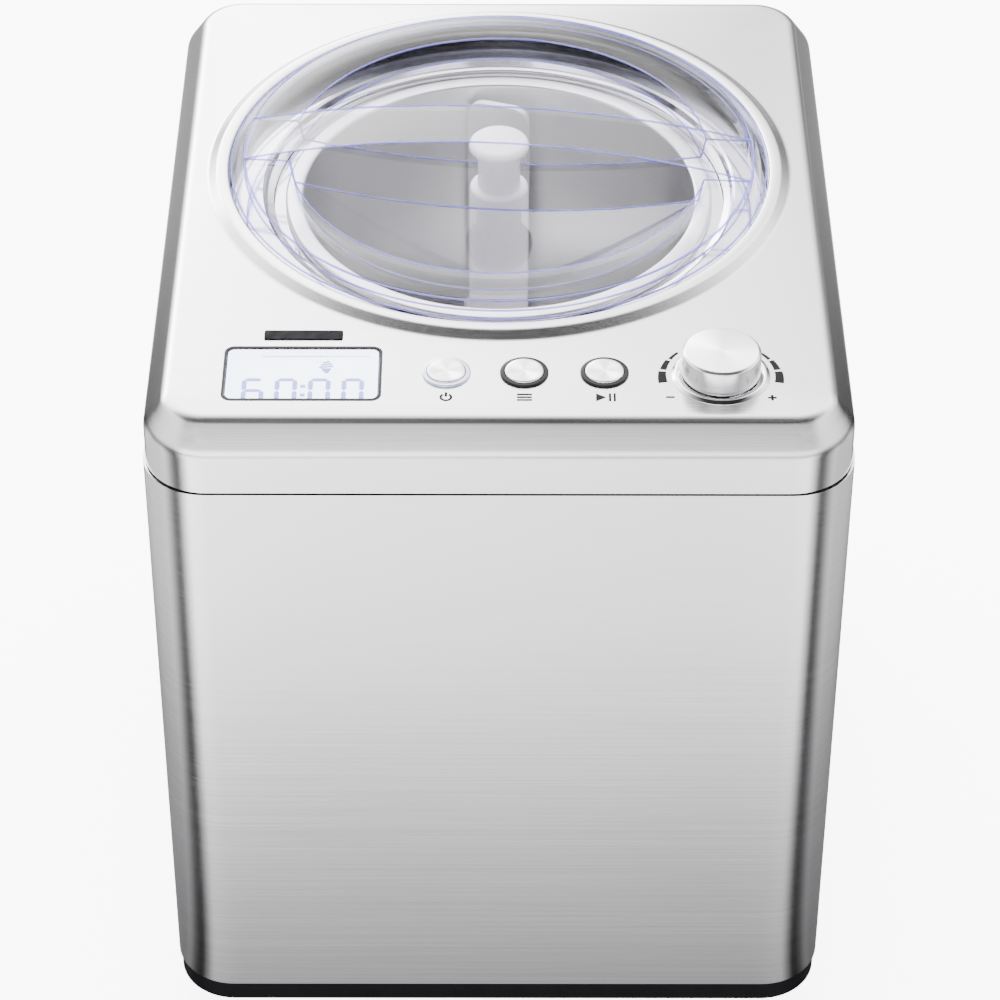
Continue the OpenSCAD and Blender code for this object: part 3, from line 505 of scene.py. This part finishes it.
def prism(name, outlines, z0, z1, material):
    """Flat raised figures: each outline is a list of (x, y) points in metres, raised from z0 to z1."""
    bm = bmesh.new()
    for outline in outlines:
        face = bm.faces.new([bm.verts.new((x, y, z0)) for x, y in outline])
        raised = bmesh.ops.extrude_face_region(bm, geom=[face])
        tops = [item for item in raised["geom"] if isinstance(item, bmesh.types.BMVert)]
        bmesh.ops.translate(bm, verts=tops, vec=(0, 0, z1 - z0))
    piece(name, finished_mesh(name, bm), material)


def frame_ring(name, outer, inner, z0, z1, material):
    """A flat ring between two outlines with as many points each, from z0 to z1."""
    bm = bmesh.new()
    sides = ((outer, z0), (outer, z1), (inner, z1), (inner, z0))
    loops = [[bm.verts.new((x, y, z)) for x, y in outline] for outline, z in sides]
    skin(bm, loops + loops[:1])
    piece(name, finished_mesh(name, bm), material)


def around(centre, radius, angle):
    """The point at an angle in degrees, anticlockwise from +X, on a circle."""
    turn = math.radians(angle)
    return centre[0] + radius * math.cos(turn), centre[1] + radius * math.sin(turn)


def rounded(low, high, inset, radius, steps=6):
    """Outline of a rectangle with rounded corners, drawn in by inset on every side."""
    back = inset + radius
    left, right, front, rear = low.x + back, high.x - back, low.y + back, high.y - back
    corners = ((right, rear), (left, rear), (left, front), (right, front))
    return [around(corner, radius, 90 * (quarter + i / steps))
            for quarter, corner in enumerate(corners) for i in range(steps + 1)]


def band(centre, inner, outer, start, end, steps=24):
    """Outline of a curved band. outer is its outer radius at the start and at the end."""
    first, last = outer
    rim, inside = [], []
    for i in range(steps + 1):
        share = i / steps
        angle = start + (end - start) * share
        rim.append(around(centre, first + (last - first) * share, angle))
        inside.append(around(centre, inner, angle))
    return rim + inside[::-1]


def bar(x0, y0, x1, y1):
    return [(x0, y0), (x1, y0), (x1, y1), (x0, y1)]


def bar_at(x, y, width, height):
    """A bar by its middle."""
    return bar(x - width / 2, y - height / 2, x + width / 2, y + height / 2)


# ---------- The lid's moulded edges ----------

BEAD_RADIUS = 0.42 * MM
SHORTEST_BEAD = 3 * MM
WELD = 0.01 * MM
SHARP = math.radians(30)
FACET = math.radians(8)


def flat(face):
    """Whether a face leans less than about 53 degrees from level."""
    return abs(face.normal.z) > 0.6


def formed_edge(edge):
    """Whether an edge on the outer side is a corner of the form: sharp, or the middle of a fillet."""
    if len(edge.link_faces) != 2:
        return False
    a, b = edge.link_faces
    turn = edge.calc_face_angle(0)
    mid_fillet = flat(a) != flat(b) and turn > FACET
    faces_up = a.normal.z + b.normal.z > 0.02
    return faces_up and (turn > SHARP or mid_fillet)


def edge_runs(node):
    """Runs of points along a CAD node's formed edges, each from one meeting of edges to the next."""
    bm = bmesh.new()
    bm.from_mesh(node.data)
    bmesh.ops.remove_doubles(bm, verts=bm.verts, dist=WELD)
    bm.normal_update()
    untaken = set()
    meeting = {}
    for edge in bm.edges:
        if formed_edge(edge):
            untaken.add(edge)
            for vert in edge.verts:
                meeting.setdefault(vert, []).append(edge)
    runs = []
    # Ends and forks come first, so that only closed loops start anywhere else
    for start in sorted(meeting, key=lambda vert: len(meeting[vert]) == 2):
        for edge in meeting[start]:
            vert, points = start, [start.co.copy()]
            while edge in untaken:
                untaken.discard(edge)
                vert = edge.other_vert(vert)
                points.append(vert.co.copy())
                onward = [e for e in meeting[vert] if e in untaken]
                if len(meeting[vert]) != 2 or not onward:
                    break
                edge = onward[0]
            if len(points) > 1:
                runs.append(points)
    bm.free()
    return runs


def lid_edges():
    """Thin rounded beads along the outer edges of the lid and its bar."""
    curve = bpy.data.curves.new("lid_edges", "CURVE")
    curve.dimensions = "3D"
    curve.bevel_depth = BEAD_RADIUS
    curve.bevel_resolution = 1
    curve.use_fill_caps = True
    for points in edge_runs(nodes["lid"]):
        if sum((b - a).length for a, b in zip(points, points[1:])) < SHORTEST_BEAD:
            continue
        closed = (points[0] - points[-1]).length < WELD
        kept = points[:-1] if closed else points
        spline = curve.splines.new("POLY")
        spline.points.add(len(kept) - 1)
        for target, p in zip(spline.points, kept):
            target.co = (*p, 1)
        spline.use_cyclic_u = closed
    piece("lid_edges", curve, moulded_edge(), "lid")


# ---------- The knob's collar ----------

def knob_collar():
    """The knob's bright collar: a steep outer cone, a rolled crest and a shallow dish up to the knob."""
    low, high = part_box("knob_flange")
    centre, radius, tall = middle("knob_flange"), (high.x - low.x) / 2, high.z - low.z
    # Shares of the radius and of the height
    foot = [(1.0, 0.0), (1.0, 0.12), (0.995, 0.2), (0.985, 0.27)]
    crest = [(0.935, 0.84), (0.925, 0.93), (0.912, 0.98), (0.9, 0.99), (0.885, 0.97), (0.87, 0.9)]
    dish = [(0.8, 0.56), (0.78, 0.5), (0.17, 0.5)]
    steps = 180
    bm = bmesh.new()
    rings = []
    for out, up in foot + crest + dish:
        circle = [around(centre, radius * out, 360 * i / steps) for i in range(steps)]
        rings.append([bm.verts.new((x, y, low.z + tall * up)) for x, y in circle])
    skin(bm, rings)
    for face in bm.faces:
        face.smooth = True
    mesh = finished_mesh("knob_collar", bm)
    obj = piece("knob_collar", mesh, materials["polished_steel"])
    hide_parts("knob_flange")


# ---------- The display ----------

SEGMENTS = {
    "a": ((0, 2), (1, 2)), "b": ((1, 2), (1, 1)), "c": ((1, 1), (1, 0)), "d": ((0, 0), (1, 0)),
    "e": ((0, 1), (0, 0)), "f": ((0, 2), (0, 1)), "g": ((0, 1), (1, 1)),
}
DIGITS = {"6": "acdefg", "0": "abcdef"}


def segment(start, end, origin, width, height, thick):
    """A bar with pointed ends between two corners of a digit."""
    ax, ay = origin[0] + start[0] * width, origin[1] + start[1] * height / 2
    bx, by = origin[0] + end[0] * width, origin[1] + end[1] * height / 2
    length = math.hypot(bx - ax, by - ay)
    ux, uy = (bx - ax) / length, (by - ay) / length
    half = thick / 2
    gap = half * 0.12
    along = (gap, gap + half, length - gap - half, length - gap, length - gap - half, gap + half)
    aside = (0, half, half, 0, -half, -half)
    return [(ax + ux * s - uy * t, ay + uy * s + ux * t) for s, t in zip(along, aside)]


def display_surround():
    """The black edge round the display's window, and the lining of its well, with a painted glow that
    stands in for light falling on it.
    """
    edge, seam, radius = 0.4 * MM, 0.03 * MM, 2.6 * MM
    shelf = panel_z - 0.5 * MM
    outer = rounded(window_low, window_high, seam, radius + edge)
    inner = rounded(window_low, window_high, edge, radius)
    black = materials["dark_plate"]
    frame_ring("display_edge", outer, inner, shelf, panel_z + 0.05 * MM, black)
    lining = rounded(window_low, window_high, edge * 0.6, radius + edge * 0.4)
    # Painted light: the lining glows evenly, so the top of the window shows no shade
    glow = glowing("display_lining_painted_glow", (0.84, 0.91, 1.0), 4.6, (0.55, 0.6, 0.7))
    frame_ring("display_lining_painted_glow", outer, lining, top_of("display_module") + seam, shelf, glow)


def lcd_digits(wide, tall):
    """Outlines of the figures for an hour, in minutes and seconds."""
    digit_w, digit_h, thick = 0.115 * wide, 0.42 * tall, 1.9 * MM
    base_y = window_low.y + 0.06 * tall
    outlines = []
    for figure, share in (("6", 0.18), ("0", 0.395), ("0", 0.612), ("0", 0.83)):
        origin = (window_low.x + share * wide - digit_w / 2, base_y)
        outlines += [segment(*SEGMENTS[s], origin, digit_w, digit_h, thick) for s in DIGITS[figure]]
    for share in (0.3, 0.7):
        outlines.append(bar_at(window_low.x + 0.505 * wide, base_y + share * digit_h, thick, thick))
    return outlines


def lcd_cone(wide, tall):
    """Outlines of a wafer cone with three leaning scoops."""
    middle_x, middle_y = window_low.x + 0.65 * wide, window_low.y + 0.655 * tall
    stretch_x, stretch_y = 1.4 * MM, 1.05 * MM
    shapes = [((-1.5, 1.6), (-0.2, -1.4), (0.6, -1.4), (1.5, 1.6))]
    for i, half in enumerate((2.1, 1.7, 1.1)):
        y = 2.1 + 1.35 * i
        under = ((-half, y - 0.35), (half, y + 0.35))
        over = ((half - 0.3, y + 1.25), (0.3 - half, y + 0.55))
        shapes.append(under + over)
    return [[(middle_x + x * stretch_x, middle_y + y * stretch_y) for x, y in shape] for shape in shapes]


def lcd_scale(wide, tall):
    """Outlines of the line along the display's top, with ticks under it."""
    y = window_high.y - 0.06 * tall
    outlines = [bar(window_low.x + 0.22 * wide, y, window_low.x + 0.93 * wide, y + 0.22 * MM)]
    for i in range(15):
        x = window_low.x + (0.24 + 0.026 * i) * wide
        outlines.append(bar(x, y - 0.5 * MM, x + 0.35 * MM, y - 0.1 * MM))
    return outlines


def display_figures():
    """What the display shows: minutes and seconds, a cone and a scale."""
    wide, tall = window_high.x - window_low.x, window_high.y - window_low.y
    z = top_of("display_module") + 0.02 * MM
    lilac = glowing("display_figures", (0.26, 0.3, 1.0), 2.3, (0.1, 0.1, 0.3))
    paler = glowing("display_cone", (0.3, 0.34, 1.0), 1.8, (0.1, 0.1, 0.28))
    faint = glowing("display_scale", (0.1, 0.12, 0.3), 0.1, (0.02, 0.02, 0.04))
    for name, outlines, material in (("display_digits", lcd_digits(wide, tall), lilac),
                                     ("display_cone", lcd_cone(wide, tall), paler),
                                     ("display_scale", lcd_scale(wide, tall), faint)):
        prism(name, outlines, z, z + 0.05 * MM, material)


# ---------- Marks on the panel ----------

MARK_LINE = 1.0 * MM
SIGN_HALF = 2.5 * MM


def power_sign(x, y):
    """An open circle with an upright stroke in its gap."""
    half = MARK_LINE / 2
    circle = band((x, y), SIGN_HALF - MARK_LINE, (SIGN_HALF, SIGN_HALF), 125, 415)
    return [circle, bar(x - half, y + 0.3 * MM, x + half, y + SIGN_HALF + 0.5 * MM)]


def menu_sign(x, y):
    """Three level strokes."""
    return [bar_at(x, y + i * 1.7 * MM, 5.8 * MM, MARK_LINE) for i in (-1, 0, 1)]


def start_sign(x, y):
    """A triangle that points right, then two upright strokes."""
    tail, low, high = x - 3.6 * MM, y - SIGN_HALF, y + SIGN_HALF
    outlines = [[(tail, low), (x + 0.4 * MM, y), (tail, high)]]
    for away in (1.3 * MM, 3.1 * MM):
        outlines.append(bar(x + away, low, x + away + 0.9 * MM, high))
    return outlines


def dial_signs():
    """Minus, plus, and the swelling marks to either side of the knob."""
    knob = middle("knob")
    long_side, stroke, inner = 3.4 * MM, 1.44 * MM, 20.9 * MM
    minus_x, minus_y = knob.x - 19.8 * MM, knob.y - 13.8 * MM
    plus_x, plus_y = knob.x + 19.0 * MM, knob.y - 14.1 * MM
    outlines = [bar_at(x, y, long_side, MARK_LINE) for x, y in ((minus_x, minus_y), (plus_x, plus_y))]
    for side in (-1, 1):
        outlines.append(bar_at(plus_x, plus_y + side * 1.0 * MM, MARK_LINE, stroke))
    # Widths at the lower and upper end, in mm, and the angles of those ends
    marks = ((3.6, 3.0, -12, 6), (2.6, 2.0, 9, 25), (1.5, 1.0, 28, 42))
    for low_width, high_width, low_end, high_end in marks:
        outer = (inner + low_width * MM, inner + high_width * MM)
        outlines.append(band(knob, inner, outer, low_end, high_end, 8))
        outlines.append(band(knob, inner, outer, 180 - low_end, 180 - high_end, 8))
    return outlines


def panel_marks():
    """Generic signs printed on the cover: one in front of each button, and those round the knob."""
    row_y = middle("power_button").y - 15.2 * MM
    signs = dial_signs()
    for button, sign in (("power", power_sign), ("menu", menu_sign), ("start", start_sign)):
        signs += sign(middle(button + "_button").x, row_y)
    ink = plain("printed_ink", (0.012, 0.012, 0.013), 0.6, grain=1500, relief=0.05, shine=0.04)
    prism("panel_marks", signs, panel_z, panel_z + 0.06 * MM, ink)


lid_edges()
knob_collar()
display_surround()
display_figures()
panel_marks()


# ---------- Stage and light ----------

RAYS = ("camera", "diffuse", "glossy", "transmission", "shadow")
FLOOR_GLOW, BACKDROP_GLOW = 6.5, 9.0


def stage_piece(name, mesh, seen_by, material):
    """A stage piece that only some kinds of ray see."""
    mesh.materials.append(material)
    obj = link(name, mesh)
    for kind in RAYS:
        setattr(obj, "visible_" + kind, kind in seen_by)


def floor_sheet(name, z, seen_by, material):
    half = 8
    mesh = bpy.data.meshes.new(name)
    corners = [(-half, -half, z), (half, -half, z), (half, half, z), (-half, half, z)]
    mesh.from_pydata(corners, [], [(0, 1, 2, 3)])
    stage_piece(name, mesh, seen_by, material)


def pale_floor():
    """White paper, bright enough to read as white and still take a soft shadow."""
    s = Shader("floor")
    fine = s.noise(s.place(), 3.0)
    s.output(s.principled(
        Base_Color=s.tint(fine, (0.9, 0.9, 0.9), (0.93, 0.93, 0.93)),
        Roughness=0.9,
        Specular_IOR_Level=0.1,
        Emission_Color=(1, 1, 1, 1),
        Emission_Strength=FLOOR_GLOW,
    ))
    return s.material


def by_degrees(points):
    return [(math.radians(angle), height) for angle, height in points]


def mirrored_floor():
    """What the steel mirrors of the floor, painted on a sheet only reflections see: grey close to the
    machine as painted shade, brighter further out, with a dark wedge off each corner and a dark patch
    behind to either side, painted reflections like those black flags in a studio give.
    Distances are from the body's outline, drawn in by inwards."""
    s = Shader("floor_mirrored")
    x, y, _ = s.parts(s.place())
    inwards = 25 * MM
    past_x = s.math("MAXIMUM", s.less(s.size(x), body_high.x - inwards), 0.0)
    past_y = s.math("MAXIMUM", s.less(s.size(y), body_high.y - inwards), 0.0)
    # Painted shade: the mirrored floor is grey close to the machine, where the floor would lie in its
    # shade
    painted_shade_by_distance = s.curve(s.length(past_x, past_y), [
        (0.02, 0.45), (0.05, 0.62), (0.11, 0.95), (0.16, 1.3), (0.22, 2.1),
        (0.3, 3.3), (0.42, 4.2), (0.8, 4.2), (1.5, 0.9), (2.6, 0.6),
    ])
    wedge = s.curve(s.math("ARCTAN2", past_x, past_y), by_degrees([
        (0, 1.0), (16, 1.15), (33, 1.25), (43, 0.45), (52, 0.02),
        (60, 0.04), (68, 0.15), (78, 0.4), (85, 0.46), (90, 0.36),
    ]))
    lean = s.step(x, -0.25, 0.25, 1.15, 0.88)
    flag_x, flag_y = 0.72, 0.95
    off = s.length(s.less(s.size(x), flag_x), s.less(y, flag_y))
    flag = s.step(off, 0.42, 0.85, 0.13, 1.0)
    s.glow(s.product(painted_shade_by_distance, wedge, lean, flag), 4.0, (0.985, 0.975, 1.0), (1.0, 0.99, 1.0))
    return s.material


def studio_sky():
    """Softboxes round the machine: a wide bright one behind and above, a dark gap overhead, a dimmer
    front, all with soft edges."""
    world = bpy.data.worlds.new("world")
    world.use_nodes = True
    s = Shader("sky", world.node_tree)
    x, y, z = s.parts(s.place(source="Generated"))
    tilt = s.math("ARCTAN2", z, y)
    ring = s.curve(tilt, by_degrees([
        (-180, 5.0), (-90, 1.0), (0, 0.5), (12, 1.9), (25, 6.4), (58, 6.4), (72, 2.6),
        (88, 0.7), (102, 0.05), (128, 0.06), (139, 1.1), (152, 2.1), (166, 5.0), (180, 5.0),
    ]))
    lean = s.step(x, -0.08, 0.08, 3.0, 0.3)
    level = s.step(tilt, math.radians(30), math.radians(37), 1.0, 0.12)
    leaning = s.product(ring, s.math("POWER", lean, level))
    flank = s.curve(z, [(-1, 0.4), (0, 0.8), (0.15, 2.2), (0.5, 3.2), (0.8, 1.4), (1, 0.5)])
    share = s.step(s.size(x), 0.55, 0.85)
    glow = s.math("ADD", s.product(leaning, s.less(1.0, share)), s.product(flank, share))
    back = s.add("ShaderNodeBackground")
    s.feed(back.inputs["Color"], s.tint(z, (0.99, 0.99, 1.0), (1.0, 0.995, 1.0)))
    s.feed(back.inputs["Strength"], glow)
    s.output(back.outputs[0], "ShaderNodeOutputWorld")
    bpy.context.scene.world = world


def overhead_light():
    """A soft square light over the machine, which the steel doesn't mirror."""
    place, target = Vector((0, 0.3, 2.2)), Vector((0, 0, 0.3))
    data = bpy.data.lights.new("overhead", "AREA")
    data.size = 1.6
    data.energy = 70
    obj = link("overhead", data)
    obj.location = place
    obj.rotation_euler = (target - place).to_track_quat("-Z", "Y").to_euler()
    obj.visible_glossy = False


def backdrop():
    """A pale dome round the whole stage, seen by the camera alone."""
    mesh = bpy.data.meshes.new("backdrop")
    bm = bmesh.new()
    bmesh.ops.create_icosphere(bm, subdivisions=4, radius=7.9)
    below = [v for v in bm.verts if v.co.z < -0.5]
    bmesh.ops.delete(bm, geom=below, context="VERTS")
    for face in bm.faces:
        face.smooth = True
    bm.to_mesh(mesh)
    bm.free()
    s = Shader("backdrop")
    s.glow(BACKDROP_GLOW, 0.3, (0.99, 0.99, 0.99), (1.0, 1.0, 1.0))
    stage_piece("backdrop", mesh, ("camera",), s.material)


studio_sky()
backdrop()
floor_sheet("floor", 0, ("camera", "diffuse", "transmission", "shadow"), pale_floor())
floor_sheet("floor_mirrored", -0.2 * MM, ("glossy",), mirrored_floor())
overhead_light()
